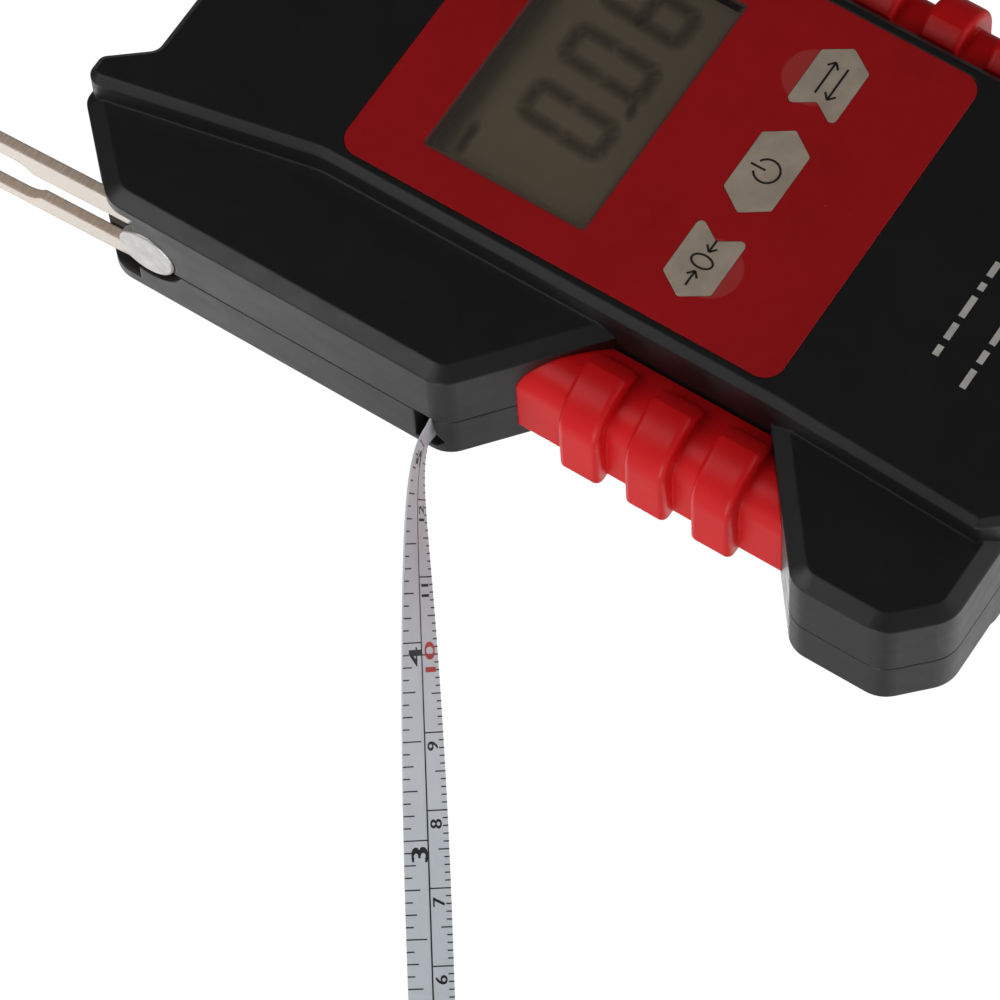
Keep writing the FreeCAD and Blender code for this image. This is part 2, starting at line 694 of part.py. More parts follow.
def handle_bail():
    """The stamped steel handle: one strip bent twice, with a stepped slot in each leg."""
    top = SHAFT_Z + HANDLE_REACH
    front = SHAFT_Y - LEG_FRONT
    back = SHAFT_Y + LEG_BACK
    arch = full_loop([(LEG_OUT, top, HANDLE_CORNER_R), (LEG_OUT, SHAFT_Z - 20, 0)])
    body = plate(arch, front, back)
    inner = full_loop([(LEG_OUT, top, HANDLE_CORNER_R), (LEG_OUT, SHAFT_Z - 40, 0)])
    body = body.cut(plate(inner, front - 1, back + 1, LEG_THICK))
    shoulder_z = SHAFT_Z + 1.5
    end = rod(LEG_END_R, V(-50, SHAFT_Y, SHAFT_Z), V(50, SHAFT_Y, SHAFT_Z))
    sides = [
        (front, top + 1),
        (front, shoulder_z),
        (SHAFT_Y - LEG_END_R, SHAFT_Z),
        (SHAFT_Y + LEG_END_R, SHAFT_Z),
        (back, shoulder_z),
        (back, top + 1),
    ]
    points = [V(-50, y, z) for y, z in sides]
    strip = Part.Face(Part.makePolygon(points + points[:1])).extrude(V(100, 0, 0))
    body = body.common(end.fuse(strip))
    narrow = slot_tool(LEG_SLOT_R, SHAFT_Z, SHAFT_Z + LEG_SLOT_RUN + 2)
    wide_low = SHAFT_Z + LEG_SLOT_RUN + LEG_WIDE_R - 1
    wide = slot_tool(LEG_WIDE_R, wide_low, top - HANDLE_CORNER_R - 6)
    for tool in both_sides(narrow.fuse(wide)):
        body = body.cut(tool)
    body.rotate(V(0, SHAFT_Y, SHAFT_Z), V(1, 0, 0), -HANDLE_LEAN)
    return body.removeSplitter()


def swivel_bracket():
    """A bent steel strip under the load cell in which the hook's stem hangs."""
    y0 = SHAFT_Y - 5.5
    y1 = SHAFT_Y + 5.5
    outer = block(-7.9, 7.9, y0, y1, -18, 0)
    body = outer.cut(block(-6.1, 6.1, y0 - 1, y1 + 1, -16, -2))
    body = body.cut(rod(STUD_R + 0.05, V(0, SHAFT_Y, -3), V(0, SHAFT_Y, 1)))
    return body.cut(rod(STEM_HOLE_R, V(0, SHAFT_Y, -20), V(0, SHAFT_Y, -15)))


def bracket_screw():
    head = rod(4.0, V(0, SHAFT_Y, -5), V(0, SHAFT_Y, -2))
    shank = rod(STUD_R, V(0, SHAFT_Y, -2), V(0, SHAFT_Y, 10))
    socket = rod(1.8, V(0, SHAFT_Y, -5.5), V(0, SHAFT_Y, -3.4))
    return head.fuse(shank).cut(socket)


def hexagon(across_flats, z0, z1):
    """A hexagonal prism about the stem."""
    radius = across_flats / 2 / math.cos(math.pi / 6)
    points = []
    for i in range(7):
        angle = i * math.pi / 3
        points.append(V(radius * math.cos(angle), SHAFT_Y + radius * math.sin(angle), z0))
    return Part.Face(Part.makePolygon(points)).extrude(V(0, 0, z1 - z0))


def hook_nut():
    return hexagon(10.0, -15.0, -10.2).cut(rod(STEM_R, V(0, SHAFT_Y, -20), V(0, SHAFT_Y, -5)))


def hook_washer():
    ring = rod(5.6, V(0, SHAFT_Y, -16), V(0, SHAFT_Y, -15))
    return ring.cut(rod(STEM_HOLE_R, V(0, SHAFT_Y, -20), V(0, SHAFT_Y, -5)))


def stem_bush():
    """The flanged bush that guides the stem through the bottom of the case."""
    body = rod(5.0, V(0, SHAFT_Y, -68.2), V(0, SHAFT_Y, -65))
    flange = rod(7.0, V(0, SHAFT_Y, -65), V(0, SHAFT_Y, -63.4))
    return body.fuse(flange).cut(rod(STEM_HOLE_R, V(0, SHAFT_Y, -70), V(0, SHAFT_Y, -60)))


def hook():
    """A round-bar hook: straight stem, short reverse turn, then the bowl, which hangs under the stem."""
    turn = V(HOOK_TURN_R, SHAFT_Y, HOOK_START_Z)
    drop = math.sqrt((HOOK_R + HOOK_TURN_R) ** 2 - HOOK_TURN_R ** 2)
    bowl = V(0, SHAFT_Y, HOOK_START_Z - drop)
    share = HOOK_TURN_R / (HOOK_R + HOOK_TURN_R)
    meet = turn + (bowl - turn) * share
    meet_angle = math.atan2(meet.z - bowl.z, meet.x - bowl.x)
    tip_angle = math.radians(-190)
    bend_start = V(0, SHAFT_Y, HOOK_START_Z)
    half_way = (math.atan2(meet.z - turn.z, meet.x - turn.x) - math.pi) / 2
    bend_mid = turn + V(math.cos(half_way), 0, math.sin(half_way)) * HOOK_TURN_R
    bowl_mid_angle = (meet_angle + tip_angle) / 2
    bowl_mid = bowl + V(math.cos(bowl_mid_angle), 0, math.sin(bowl_mid_angle)) * HOOK_R
    tip = bowl + V(math.cos(tip_angle), 0, math.sin(tip_angle)) * HOOK_R
    top = V(0, SHAFT_Y, -9.0)
    path = Part.Wire([
        Part.makeLine(top, bend_start),
        Part.Arc(bend_start, bend_mid, meet).toShape(),
        Part.Arc(meet, bowl_mid, tip).toShape(),
    ])
    section = Part.Wire(Part.makeCircle(STEM_R, top, V(0, 0, -1)))
    body = path.makePipeShell([section], True, True)
    return body.fuse(Part.makeSphere(STEM_R, tip)).removeSplitter()


def battery_cover():
    """The snap-on cover, flush with the raised back face, with a finger recess."""
    outline = rectangle(COVER_HALF, COVER_TOP, COVER_BOTTOM, 2.0)
    body = plate(outline, -COVER_THICK, 0)
    for i in range(5):
        z = -22.0 - i * 2.4
        body = body.cut(block(-9, 9, -0.6, 1, z - 0.6, z + 0.6))
    return body


def battery_cells():
    """Two AAA cells, one each way up."""
    cells = []
    for x, way in ((AAA_X, 1), (-AAA_X, -1)):
        middle = (BAY_TOP + BAY_BOTTOM) / 2
        start = middle - way * AAA_LENGTH / 2
        body_end = start + way * (AAA_LENGTH - 1.0)
        body = rod(AAA_R, V(x, AAA_Y, start), V(x, AAA_Y, body_end))
        body = body.makeFillet(0.4, [e for e in body.Edges if e.Curve.TypeId == "Part::GeomCircle"])
        nub = rod(1.9, V(x, AAA_Y, body_end - way * 0.5), V(x, AAA_Y, start + way * AAA_LENGTH))
        cells.append(body.fuse(nub))
    return Part.makeCompound(cells)


def battery_contacts():
    """Plated contact plates at both ends of each bay."""
    plates = []
    for x in (AAA_X, -AAA_X):
        for z in (BAY_TOP - 0.5, BAY_BOTTOM):
            plates.append(block(x - 4, x + 4, AAA_Y - 4, AAA_Y + 4, z, z + 0.5))
    return Part.makeCompound(plates)


def cable(points, radius):
    """A flexible round lead through the given points."""
    curve = Part.BSplineCurve()
    curve.interpolate(points)
    path = Part.Wire(curve.toShape())
    section = Part.Wire(Part.makeCircle(radius, points[0], curve.tangent(curve.FirstParameter)[0]))
    return path.makePipeShell([section], True, True)


def battery_leads():
    """Leads from the battery contacts up to the board."""
    leads = []
    for side in (1, -1):
        leads.append(cable([
            V(side * AAA_X, -8.5, BAY_TOP + 0.1),
            V(side * AAA_X, -8.5, BAY_TOP + 1.0),
            V(side * AAA_X, -9.2, BAY_TOP + 5),
            V(side * 15.6, -12.5, BAY_TOP + 9),
            V(side * 16.5, BOARD_BACK_Y + 1.2, BAY_TOP + 10),
            V(side * 16.5, BOARD_BACK_Y + 0.1, BAY_TOP + 10),
        ], 0.6))
    return Part.makeCompound(leads)


def load_cell_cable():
    """The cell's signal lead, from the left gauge to the socket on the board."""
    return cable([
        V(-CELL_HALF_X - 0.6, SHAFT_Y, 18.5),
        V(-CELL_HALF_X - 1.5, SHAFT_Y, 18.5),
        V(-13.4, -12.2, 14.0),
        V(-16.6, -12.7, 7.0),
        V(-18.5, BOARD_BACK_Y + 4.3, 4.0),
        V(-18.5, BOARD_BACK_Y + 3.3, 4.0),
    ], 0.7)


def reel_rod(radius, y0, y1):
    return rod(radius, V(REEL_X, y0, REEL_Z), V(REEL_X, y1, REEL_Z))


def tape_reel():
    """The drum the tape winds on, with one flange."""
    drum = reel_rod(COIL_IN, TAPE_FRONT_Y - 0.8, TAPE_BACK_Y)
    flange = reel_rod(FLANGE_R, TAPE_FRONT_Y - 0.8, TAPE_FRONT_Y)
    hollow = reel_rod(COIL_IN - 0.9, TAPE_FRONT_Y, TAPE_BACK_Y + 1)
    return drum.fuse(flange).cut(hollow).cut(reel_rod(1.57, -12, 0))


def tape_coil():
    """The wound part of the tape."""
    return reel_rod(COIL_OUT, TAPE_FRONT_Y, TAPE_BACK_Y).cut(reel_rod(COIL_IN, -12, 0))


def spiral(radius, growth, half_turns, y):
    """A flat spiral made of half circles whose centres alternate."""
    edges = []
    centre = REEL_X
    for i in range(half_turns):
        way = 1 if i % 2 == 0 else -1
        start = V(centre + way * radius, y, REEL_Z)
        middle = V(centre, y, REEL_Z + way * radius)
        end = V(centre - way * radius, y, REEL_Z)
        edges.append(Part.Arc(start, middle, end).toShape())
        centre += way * growth
        radius += growth
    return edges, end


def tape_spring():
    """The flat spiral spring that winds the tape back."""
    thick = 0.25
    inner, inner_end = spiral(2.4, 0.5, 8, TAPE_FRONT_Y + 0.3)
    outer, outer_end = spiral(2.4 + thick, 0.5, 8, TAPE_FRONT_Y + 0.3)
    start_join = Part.makeLine(inner[0].Vertexes[0].Point, outer[0].Vertexes[0].Point)
    end_join = Part.makeLine(inner_end, outer_end)
    wire = Part.Wire(Part.__sortEdges__(inner + outer + [start_join, end_join]))
    return Part.Face(wire).extrude(V(0, 5.3, 0))


def reel_axle():
    """The pin the reel turns on, with a wider seat for the spring's inner end."""
    foot_y = WING_BACK_Y - THIN_WALL
    pin = reel_rod(1.5, -12.0, foot_y)
    seat = reel_rod(2.3, TAPE_FRONT_Y + 0.2, foot_y)
    return pin.fuse(seat)


def reel_cover():
    """The plate that keeps the reel on its axle, screwed to two posts."""
    disc = reel_rod(14.2, -12.2, -11.0)
    ears = [rod(3.0, V(x, -12.2, z), V(x, -11.0, z)) for x, z in REEL_POSTS]
    body = fused([disc] + ears)
    body = body.cut(reel_rod(1.5, -12.0, -10))
    for x, z in REEL_POSTS:
        body = body.cut(rod(1.0, V(x, -13, z), V(x, -10, z)))
    return body


def reel_cover_screws():
    screws = []
    for x, z in REEL_POSTS:
        head = rod(1.9, V(x, -13.4, z), V(x, -12.2, z))
        shank = rod(0.9, V(x, -12.2, z), V(x, -6, z))
        screws.append(head.fuse(shank).cut(cross_recess(x, -13.4, z, 1.2, 0.7, -1)))
    return Part.makeCompound(screws)


def tape_heading(s):
    """The direction of the tape at a distance from the slot: it bends towards its own line."""
    share = 1 - math.exp(-s / TAPE_BEND)
    return (TAPE_START * (1 - share) + TAPE_END * share).normalize()


def tape_across(s):
    """The tape's width direction: it leaves with its width along Y and twists a quarter turn."""
    left = 1 - min(s / TAPE_TWIST_RUN, 1.0)
    turn = math.radians(90 - TWIST_SLOW * left ** TWIST_POWER - TWIST_QUICK * math.exp(-s / TAPE_EASE))
    heading = tape_heading(s)
    flat = TAPE_FACE - heading * TAPE_FACE.dot(heading)
    edge = V(0, 1, 0) - heading * heading.y
    mixed = edge.normalize() * math.cos(turn) + flat.normalize() * math.sin(turn)
    mixed = mixed - heading * mixed.dot(heading)
    return mixed.normalize()


def tape_point(distance):
    """The middle of the tape at a distance from the slot."""
    point = V(-HALF_WIDTH, TAPE_MID_Y, TAPE_EXIT_Z)
    step = 0.5
    s = 0.0
    while s < distance:
        length = min(step, distance - s)
        point = point + tape_heading(s + length / 2) * length
        s += length
    return point


def tape_section(centre, heading, across, width, thick):
    """A closed rectangle across the tape."""
    normal = heading.cross(across).normalize() * (thick / 2)
    side = across * (width / 2)
    corners = [
        centre + side + normal,
        centre - side + normal,
        centre - side - normal,
        centre + side - normal,
    ]
    return Part.makePolygon(corners + corners[:1])


def tape_blade():
    """The drawn-out part of the tape: flat inside the case, then twisting as it hangs out."""
    width = TAPE_WIDTH - 0.06
    edge = V(0, 1, 0)
    coil_z = REEL_Z - COIL_OUT - TAPE_THICK / 2
    on_coil = V(REEL_X, TAPE_MID_Y, coil_z)
    at_slot = V(2 - HALF_WIDTH, TAPE_MID_Y, TAPE_EXIT_Z)
    inside = (at_slot - on_coil).normalize()
    sections = [
        tape_section(on_coil, TAPE_START, edge, width, TAPE_THICK),
        tape_section(on_coil - V(3, 0, 0), (TAPE_START + inside).normalize(), edge, width, TAPE_THICK),
        tape_section(at_slot, (TAPE_START + inside).normalize(), edge, width, TAPE_THICK),
    ]
    distances = [1.5 + 3.5 * i for i in range(16)] + [70, 90, 110, TAPE_OUT]
    for s in distances:
        section = tape_section(tape_point(s), tape_heading(s), tape_across(s), TAPE_WIDTH, TAPE_THICK)
        sections.append(section)
    return Part.makeLoft(sections, True, True)


def tape_end_tab():
    """The folded metal tab that keeps the tape's free end outside the case."""
    heading = tape_heading(TAPE_OUT)
    across = tape_across(TAPE_OUT)
    start = tape_point(TAPE_OUT)
    near = tape_section(start, heading, across, 9.0, 1.4)
    far = tape_section(start + heading * 9.0, heading, across, 9.0, 1.4)
    return Part.makeLoft([near, far], True, True)


save("front_shell", front_shell())
save("rear_shell", rear_shell())
grip = right_grip()
save("right_grip", grip)
save("left_grip", mirrored(grip))
save("control_overlay", control_overlay())
save("display_window", display_window())
lcd = rectangle(LCD_HALF, LCD_TOP, LCD_BOTTOM, 0.4)
save("lcd_panel", plate(lcd, LCD_FRONT_Y, LCD_BACK_Y))
save("lcd_frame", lcd_frame())
save("lcd_connector", block(-18, 18, LCD_BACK_Y, BOARD_FRONT_Y, 0.0, 2.2))
for kind in KEYS:
    save("key_" + kind, key(kind))
save("tact_switches", tact_switches())
save("circuit_board", circuit_board())
save("controller_chip", controller_chip())
save("board_components", board_components())
save("board_screws", board_screws())
save("case_screws", case_screws())
save("load_cell", load_cell())
save("strain_gauges", strain_gauges())
save("shaft_eye", shaft_eye())
save("handle_shaft", handle_shaft())
save("shaft_end_cap", shaft_end_cap())
save("handle_bail", handle_bail())
save("swivel_bracket", swivel_bracket())
save("bracket_screw", bracket_screw())
save("hook", hook())
save("hook_nut", hook_nut())
save("hook_washer", hook_washer())
save("stem_bush", stem_bush())
save("battery_cover", battery_cover())
save("battery_cells", battery_cells())
save("battery_contacts", battery_contacts())
save("battery_leads", battery_leads())
save("load_cell_cable", load_cell_cable())
save("tape_reel", tape_reel())
save("tape_coil", tape_coil())
save("tape_spring", tape_spring())
save("reel_axle", reel_axle())
save("reel_cover", reel_cover())
save("reel_cover_screws", reel_cover_screws())
save("tape_blade", tape_blade())
save("tape_end_tab", tape_end_tab())
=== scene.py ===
import bmesh
import bpy
import json
import math
from mathutils import Matrix, Vector


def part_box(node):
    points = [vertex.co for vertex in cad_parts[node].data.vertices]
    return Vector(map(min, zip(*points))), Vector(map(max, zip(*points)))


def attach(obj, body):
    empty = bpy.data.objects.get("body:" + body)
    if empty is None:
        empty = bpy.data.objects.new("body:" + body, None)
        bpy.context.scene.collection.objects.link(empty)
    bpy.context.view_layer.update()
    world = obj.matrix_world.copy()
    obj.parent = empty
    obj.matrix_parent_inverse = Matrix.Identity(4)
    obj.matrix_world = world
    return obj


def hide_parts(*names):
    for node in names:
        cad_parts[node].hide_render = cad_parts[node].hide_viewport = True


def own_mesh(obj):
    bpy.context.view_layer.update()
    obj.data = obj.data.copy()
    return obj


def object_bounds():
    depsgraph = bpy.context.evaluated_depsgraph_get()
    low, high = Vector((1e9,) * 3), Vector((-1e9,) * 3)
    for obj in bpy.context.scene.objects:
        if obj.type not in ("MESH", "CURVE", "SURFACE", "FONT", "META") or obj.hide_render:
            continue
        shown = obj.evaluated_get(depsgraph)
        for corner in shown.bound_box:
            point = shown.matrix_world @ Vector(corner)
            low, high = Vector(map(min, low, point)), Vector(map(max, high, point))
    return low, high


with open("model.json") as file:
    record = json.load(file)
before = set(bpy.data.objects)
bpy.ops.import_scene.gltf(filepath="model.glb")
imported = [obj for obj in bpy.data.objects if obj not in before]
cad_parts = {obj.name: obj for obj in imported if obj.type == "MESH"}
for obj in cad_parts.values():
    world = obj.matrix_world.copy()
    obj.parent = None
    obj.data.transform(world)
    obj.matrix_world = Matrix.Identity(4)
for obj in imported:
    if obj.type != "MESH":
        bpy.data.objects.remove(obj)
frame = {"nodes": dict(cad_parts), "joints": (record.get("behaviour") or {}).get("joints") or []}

cad_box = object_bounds()
MM = 0.001

# Finishes: linear colours, with sheen and grain
BLACK = (0.0125, 0.0120, 0.0125)
RUBBER_RED = (0.82, 0.009, 0.012)
PRINT_RED = (0.55, 0.009, 0.012)
KEY_GREY = (0.70, 0.57, 0.45)
LCD_OLIVE = (0.50, 0.42, 0.31)
LCD_INK = (0.23, 0.205, 0.165)
TAPE_WHITE = (0.86, 0.92, 0.98)
INK = (0.012, 0.012, 0.014)
TAPE_RED = (0.62, 0.05, 0.05)
PAD_INK = (0.62, 0.60, 0.56)

# Places on the front face
KEY_PITCH = 15.0 * MM
KEY_Z = -15.2 * MM
SPOTS = ((15.0 * MM, -13.0 * MM, 4.2 * MM), (-15.8 * MM, -16.5 * MM, 4.4 * MM))

# The drawn-out tape, as the frame's blade has it
TAPE_OUT = 133.0 * MM
TAPE_WIDTH = 6.0 * MM
TAPE_THICK = 0.3 * MM
TAPE_SLOT = Vector((-45.8, -7.02, 7.12)) * MM
TAPE_BEND = 4.0 * MM
TAPE_EASE = 6.25 * MM
TWIST_SLOW = 80.6
TWIST_QUICK = 17.6
TWIST_POWER = 1.2
TAPE_TWIST_RUN = 72.0 * MM
TAPE_ZERO = 129.5 * MM
TAPE_START = Vector((-1, 0, 0))
TAPE_END = Vector((-0.737, 0.453, -0.502))
TAPE_FACE = Vector((0.546, 0.038, -0.837))
INK_LIFT = 0.02 * MM


# ---------- node helpers ----------

def new_material(name):
    """An empty node material and its output."""
    made = bpy.data.materials.new(name)
    made.use_nodes = True
    made.node_tree.nodes.clear()
    return made, made.node_tree


def node(tree, kind, settings=None, **inputs):
    """Adds a shader node. Inputs are values or sockets; i0 means the first input."""
    made = tree.nodes.new("ShaderNode" + kind)
    for key, value in (settings or {}).items():
        setattr(made, key, value)
    for key, value in inputs.items():
        known = key[1:].isdigit() and key[0] == "i"
        socket = made.inputs[int(key[1:])] if known else made.inputs[key.replace("_", " ")]
        if isinstance(value, bpy.types.NodeSocket):
            tree.links.new(value, socket)
        else:
            socket.default_value = value
    return made


def math_node(tree, operation, *values):
    inputs = {f"i{i}": value for i, value in enumerate(values)}
    return node(tree, "Math", {"operation": operation}, **inputs).outputs[0]


def places(tree):
    """Object coordinates, which are the part's own coordinates in metres."""
    return node(tree, "TexCoord").outputs["Object"]


def noise_of(tree, scale, detail=3.0, stretch=None, roughness=0.55):
    """A noise value. stretch scales the three axes apart."""
    where = places(tree)
    if stretch:
        where = node(tree, "VectorMath", {"operation": "MULTIPLY"}, i0=where, i1=stretch).outputs[0]
    made = node(tree, "TexNoise", Vector=where, Scale=scale, Detail=detail, Roughness=roughness)
    return made.outputs["Fac"]


def spread(tree, value, low, high, from_low=0.3, from_high=0.7):
    """Maps a value from one range to another."""
    return node(tree, "MapRange", Value=value, From_Min=from_low, From_Max=from_high,
                To_Min=low, To_Max=high).outputs["Result"]


def mix_colour(tree, share, first, second):
    made = node(tree, "Mix", {"data_type": "RGBA"})
    for socket, value in ((made.inputs[0], share), (made.inputs[6], first), (made.inputs[7], second)):
        if isinstance(value, bpy.types.NodeSocket):
            tree.links.new(value, socket)
        elif isinstance(value, (int, float)):
            socket.default_value = value
        else:
            socket.default_value = (*value, 1.0)
    return made.outputs[2]


def bump(tree, height, distance, strength=1.0, normal=None):
    made = node(tree, "Bump", Height=height, Distance=distance, Strength=strength)
    if normal is not None:
        tree.links.new(normal, made.inputs["Normal"])
    return made.outputs["Normal"]


def edge_mask(tree, radius, gain=6.0):
    """1 on edges and 0 on faces, from the difference between the rounded and the flat normal."""
    rounded = node(tree, "Bevel", {"samples": 4}, Radius=radius).outputs[0]
    flat = node(tree, "NewGeometry").outputs["Normal"]
    same = node(tree, "VectorMath", {"operation": "DOT_PRODUCT"}, i0=rounded, i1=flat).outputs["Value"]
    turned = math_node(tree, "MULTIPLY", math_node(tree, "SUBTRACT", 1.0, same), gain)
    return math_node(tree, "MINIMUM", turned, 1.0)


def finish(tree, **inputs):
    """Closes a material with a principled surface."""
    surface = node(tree, "BsdfPrincipled", **inputs)
    out = node(tree, "OutputMaterial")
    tree.links.new(surface.outputs[0], out.inputs[0])
    return surface


def moulded(name, colour, rough=0.5, grain=2600.0, depth=0.012, edge=0.25, edge_highlight=1.35, mottle=0.18,
            ior=1.5, specular=0.5, subsurface=0.0):
    """Moulded plastic or rubber: fine grain, faint mottling, fine dust, softly polished edges, and a painted
    highlight that lightens the colour along edges.
    """
    made, tree = new_material(name)
    fine = noise_of(tree, grain, 4.0)
    broad = noise_of(tree, 90.0, 3.0)
    flow = noise_of(tree, 420.0, 2.0, stretch=(1.0, 1.0, 0.5))
    edges = edge_mask(tree, edge * MM)
    shade = spread(tree, broad, 1.0 - mottle, 1.0 + mottle)
    # painted highlight: the colour is lightened along edges by the edge mask, on top of the random mottling
    mottle_and_edge_highlight = math_node(tree, "MULTIPLY", shade, spread(tree, edges, 1.0, edge_highlight, 0.0, 1.0))
    tinted = node(tree, "VectorMath", {"operation": "SCALE"}, i0=colour, Scale=mottle_and_edge_highlight).outputs[0]
    dust = node(tree, "TexVoronoi", Vector=places(tree), Scale=260.0, Randomness=1.0).outputs["Distance"]
    speck = spread(tree, dust, 0.5, 0.0, 0.012, 0.028)
    dusty = tuple(min(c * 3 + 0.03, 1) for c in colour)
    base = mix_colour(tree, math_node(tree, "MAXIMUM", speck, 0.0), tinted, dusty)
    roughness = math_node(tree, "ADD", spread(tree, flow, rough - 0.03, rough + 0.03),
                          math_node(tree, "MULTIPLY", edges, -0.10))
    rounded = node(tree, "Bevel", {"samples": 4}, Radius=edge * MM).outputs[0]
    normal = bump(tree, fine, depth * MM, 0.6, rounded)
    finish(tree, Base_Color=base, Roughness=roughness, Normal=normal, IOR=ior, Specular_IOR_Level=specular,
           Subsurface_Weight=subsurface, Subsurface_Scale=0.6 * MM)
    return made


def metal(name, colour, rough=0.3, stretch=(1, 1, 1), grain=1800.0, depth=0.006, stain=0.12, edge=0.15):
    """Plated or milled metal: directional fine scratches, faint staining and softened edges."""
    made, tree = new_material(name)
    scratch = noise_of(tree, grain, 5.0, stretch=stretch)
    cloud = noise_of(tree, 140.0, 4.0)
    dark = tuple(c * 0.72 for c in colour)
    base = mix_colour(tree, spread(tree, cloud, 0.0, stain * 4, 0.45, 0.8), colour, dark)
    roughness = math_node(tree, "ADD", spread(tree, scratch, rough - 0.07, rough + 0.10),
                          spread(tree, cloud, -0.03, 0.05))
    rounded = node(tree, "Bevel", {"samples": 4}, Radius=edge * MM).outputs[0]
    normal = bump(tree, scratch, depth * MM, 0.5, rounded)
    finish(tree, Base_Color=base, Metallic=1.0, Roughness=roughness, Normal=normal)
    return made


def nickel_strip():
    """The stamped handle: satin plate on the faces, brown sheared metal on the cut edges."""
    made, tree = new_material("nickel_strip")
    shape_normal = node(tree, "NewGeometry").outputs["Normal"]
    split = node(tree, "SeparateXYZ", Vector=shape_normal)
    flat_side = math_node(tree, "ABSOLUTE", split.outputs["Y"])
    up_side = math_node(tree, "ABSOLUTE", split.outputs["Z"])
    height = node(tree, "SeparateXYZ", Vector=places(tree)).outputs["Z"]
    on_leg = spread(tree, height, 1.0, 0.0, 0.108, 0.112)
    cut = math_node(tree, "MAXIMUM", flat_side, math_node(tree, "MULTIPLY", up_side, on_leg))
    cut = spread(tree, cut, 0.0, 1.0, 0.35, 0.6)
    shear = noise_of(tree, 900.0, 3.0, stretch=(0.35, 1.0, 3.0))
    satin = noise_of(tree, 2400.0, 4.0)
    cloud = noise_of(tree, 130.0, 3.0)
    plate = mix_colour(tree, spread(tree, cloud, 0.0, 0.5), (0.60, 0.54, 0.49), (0.55, 0.49, 0.43))
    edge = mix_colour(tree, spread(tree, shear, 0.0, 1.0, 0.35, 0.65), (1.0, 0.81, 0.67), (0.80, 0.63, 0.50))
    base = mix_colour(tree, cut, plate, edge)
    rounded = node(tree, "Bevel", {"samples": 4}, Radius=0.4 * MM).outputs[0]
    rough = math_node(tree, "ADD", spread(tree, satin, 0.30, 0.42), math_node(tree, "MULTIPLY", cut, 0.12))
    marks = math_node(tree, "MULTIPLY", shear, cut)
    normal = bump(tree, marks, 0.05 * MM, 0.5, bump(tree, satin, 0.006 * MM, 0.5, rounded))
    metallic = spread(tree, cut, 1.0, 0.35, 0.0, 1.0)
    finish(tree, Base_Color=base, Metallic=metallic, Roughness=rough, Normal=normal)
    return made


def overlay_print():
    """The red printed sheet, with two paler rounds where the switch pads show through."""
    made, tree = new_material("overlay_print")
    split = node(tree, "SeparateXYZ", Vector=places(tree))
    spots = 0.0
    for x, z, radius in SPOTS:
        dx = math_node(tree, "SUBTRACT", split.outputs["X"], x)
        dz = math_node(tree, "SUBTRACT", split.outputs["Z"], z)
        reach = math_node(tree, "SQRT", math_node(tree, "ADD", math_node(tree, "MULTIPLY", dx, dx),
                                                  math_node(tree, "MULTIPLY", dz, dz)))
        inside = spread(tree, reach, 1.0, 0.0, radius - 0.12 * MM, radius + 0.12 * MM)
        spots = math_node(tree, "MAXIMUM", spots, inside)
    cloud = noise_of(tree, 60.0, 3.0)
    peel = noise_of(tree, 900.0, 2.0)
    fine = noise_of(tree, 5200.0, 3.0)
    red = mix_colour(tree, spread(tree, cloud, 0.0, 1.0), PRINT_RED, tuple(c * 0.86 for c in PRINT_RED))
    base = mix_colour(tree, math_node(tree, "MULTIPLY", spots, 0.34), red, (0.62, 0.13, 0.12))
    dust = node(tree, "TexVoronoi", Vector=places(tree), Scale=240.0, Randomness=1.0).outputs["Distance"]
    base = mix_colour(tree, math_node(tree, "MAXIMUM", spread(tree, dust, 0.35, 0.0, 0.012, 0.026), 0.0),
                      base, (0.75, 0.45, 0.42))
    rounded = node(tree, "Bevel", {"samples": 4}, Radius=0.1 * MM).outputs[0]
    normal = bump(tree, peel, 0.012 * MM, 0.4, bump(tree, fine, 0.004 * MM, 0.4, rounded))
    finish(tree, Base_Color=base, Roughness=spread(tree, peel, 0.34, 0.44), Normal=normal,
           Specular_IOR_Level=0.4)
    return made


def key_face():
    """The pearly grey print of the keys."""
    made, tree = new_material("key_face")
    cloud = noise_of(tree, 320.0, 3.0)
    fine = noise_of(tree, 4200.0, 3.0)
    base = mix_colour(tree, spread(tree, cloud, 0.0, 1.0), KEY_GREY, tuple(c * 0.78 for c in KEY_GREY))
    rounded = node(tree, "Bevel", {"samples": 4}, Radius=0.12 * MM).outputs[0]
    normal = bump(tree, cloud, 0.08 * MM, 0.35, bump(tree, fine, 0.004 * MM, 0.5, rounded))
    finish(tree, Base_Color=base, Roughness=spread(tree, fine, 0.36, 0.5), Normal=normal, Metallic=0.15)
    return made


